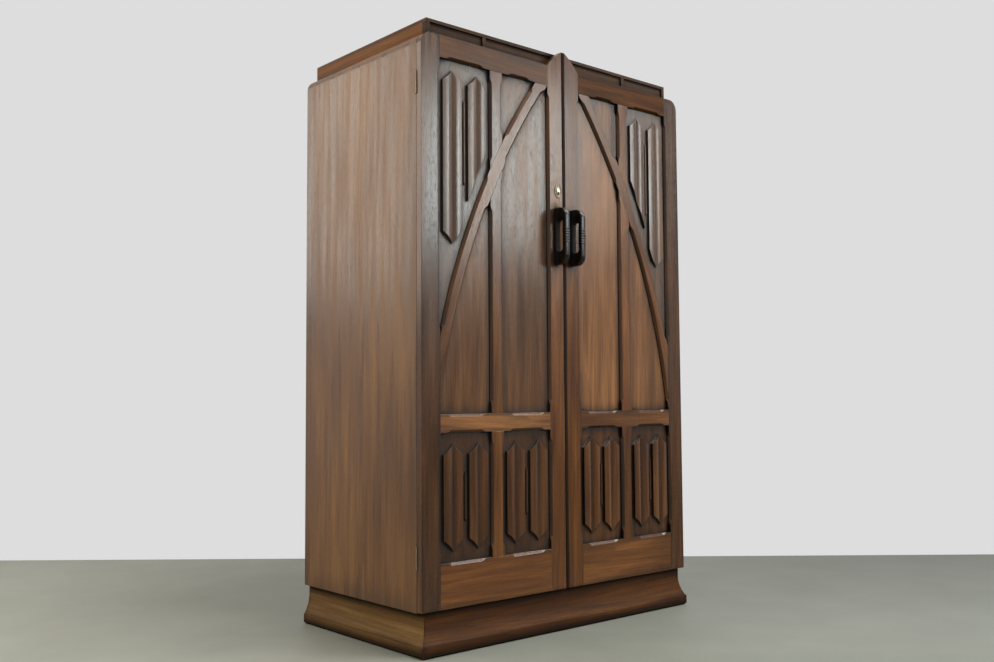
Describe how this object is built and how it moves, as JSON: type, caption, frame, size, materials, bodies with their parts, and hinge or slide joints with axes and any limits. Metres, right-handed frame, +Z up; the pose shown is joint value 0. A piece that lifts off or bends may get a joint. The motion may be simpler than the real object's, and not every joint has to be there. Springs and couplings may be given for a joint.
{
  "type": "wardrobe",
  "caption": "Free-standing wardrobe with hinged doors: linenfold panels framed by curved braces, D handles, flared plinth, hat shelf and hanging rail.",
  "frame": {"origin": "on the floor, under the middle of the bounding box", "axes": "+Z up, +X along the front to the viewer's right, +Y from the doors to the back"},
  "size_m": [1.1272, 0.672, 1.8068],
  "materials": {
    "dark_oak": "stained dark brown, semi-gloss polish",
    "oak_panel": "stained darker brown, semi-gloss polish",
    "oak_inside": "plain, little polish",
    "ebonised_wood": "black, polished",
    "brass": "aged, worn bright",
    "steel": "dull, aged"
  },
  "bodies": {
    "carcass": {"back_panel": "oak_inside", "bottom_board": "oak_inside", "top_board": "dark_oak", "side_left": "dark_oak", "side_right": "dark_oak", "frieze_front": "dark_oak", "frieze_left": "dark_oak", "frieze_right": "dark_oak", "frieze_cap": "dark_oak", "plinth_front": "dark_oak", "plinth_left": "dark_oak", "plinth_right": "dark_oak", "plinth_back": "oak_inside", "hat_shelf": "oak_inside", "hanging_rail": "steel", "rail_socket_left": "brass", "rail_socket_right": "brass", "left_case_hinge_low": "steel", "left_case_hinge_high": "steel", "right_case_hinge_low": "steel", "right_case_hinge_high": "steel"},
    "door_left": {"left_outer_stile": "dark_oak", "left_meeting_stile": "dark_oak", "left_top_rail": "dark_oak", "left_middle_rail": "dark_oak", "left_bottom_rail": "dark_oak", "left_upper_muntin": "dark_oak", "left_lower_muntin": "dark_oak", "left_brace": "dark_oak", "left_upper_linenfold": "oak_panel", "left_corner_panel": "oak_panel", "left_inner_panel": "oak_panel", "left_outer_panel": "oak_panel", "left_low_outer_linenfold": "oak_panel", "left_low_inner_linenfold": "oak_panel", "left_handle": "ebonised_wood", "left_door_hinge_leaf_low": "steel", "left_door_hinge_leaf_high": "steel", "keyhole_escutcheon": "brass", "lock_case": "steel"},
    "lock_bolt": {"lock_bolt": "brass"},
    "door_right": {"right_outer_stile": "dark_oak", "right_meeting_stile": "dark_oak", "right_top_rail": "dark_oak", "right_middle_rail": "dark_oak", "right_bottom_rail": "dark_oak", "right_upper_muntin": "dark_oak", "right_lower_muntin": "dark_oak", "right_brace": "dark_oak", "right_upper_linenfold": "oak_panel", "right_corner_panel": "oak_panel", "right_inner_panel": "oak_panel", "right_outer_panel": "oak_panel", "right_low_outer_linenfold": "oak_panel", "right_low_inner_linenfold": "oak_panel", "right_handle": "ebonised_wood", "right_door_hinge_leaf_low": "steel", "right_door_hinge_leaf_high": "steel", "bolt_plate": "steel"},
    "top_bolt": {"top_bolt": "steel"}
  },
  "joints": [
    {"name": "left_door_hinge", "type": "hinge", "parent": "carcass", "child": "door_left", "pos_m": [-0.5606, -0.2615, 0.9], "axis": [0, 0, -1], "range_deg": [0, 110]},
    {"name": "right_door_hinge", "type": "hinge", "parent": "carcass", "child": "door_right", "pos_m": [0.5606, -0.2615, 0.9], "axis": [0, 0, 1], "range_deg": [0, 110]},
    {"name": "lock_bolt_slide", "type": "slide", "parent": "door_left", "child": "lock_bolt", "axis": [1, 0, 0], "range_m": [0, 0.012]},
    {"name": "top_bolt_slide", "type": "slide", "parent": "door_right", "child": "top_bolt", "axis": [0, 0, 1], "range_m": [0, 0.014]}
  ]
}
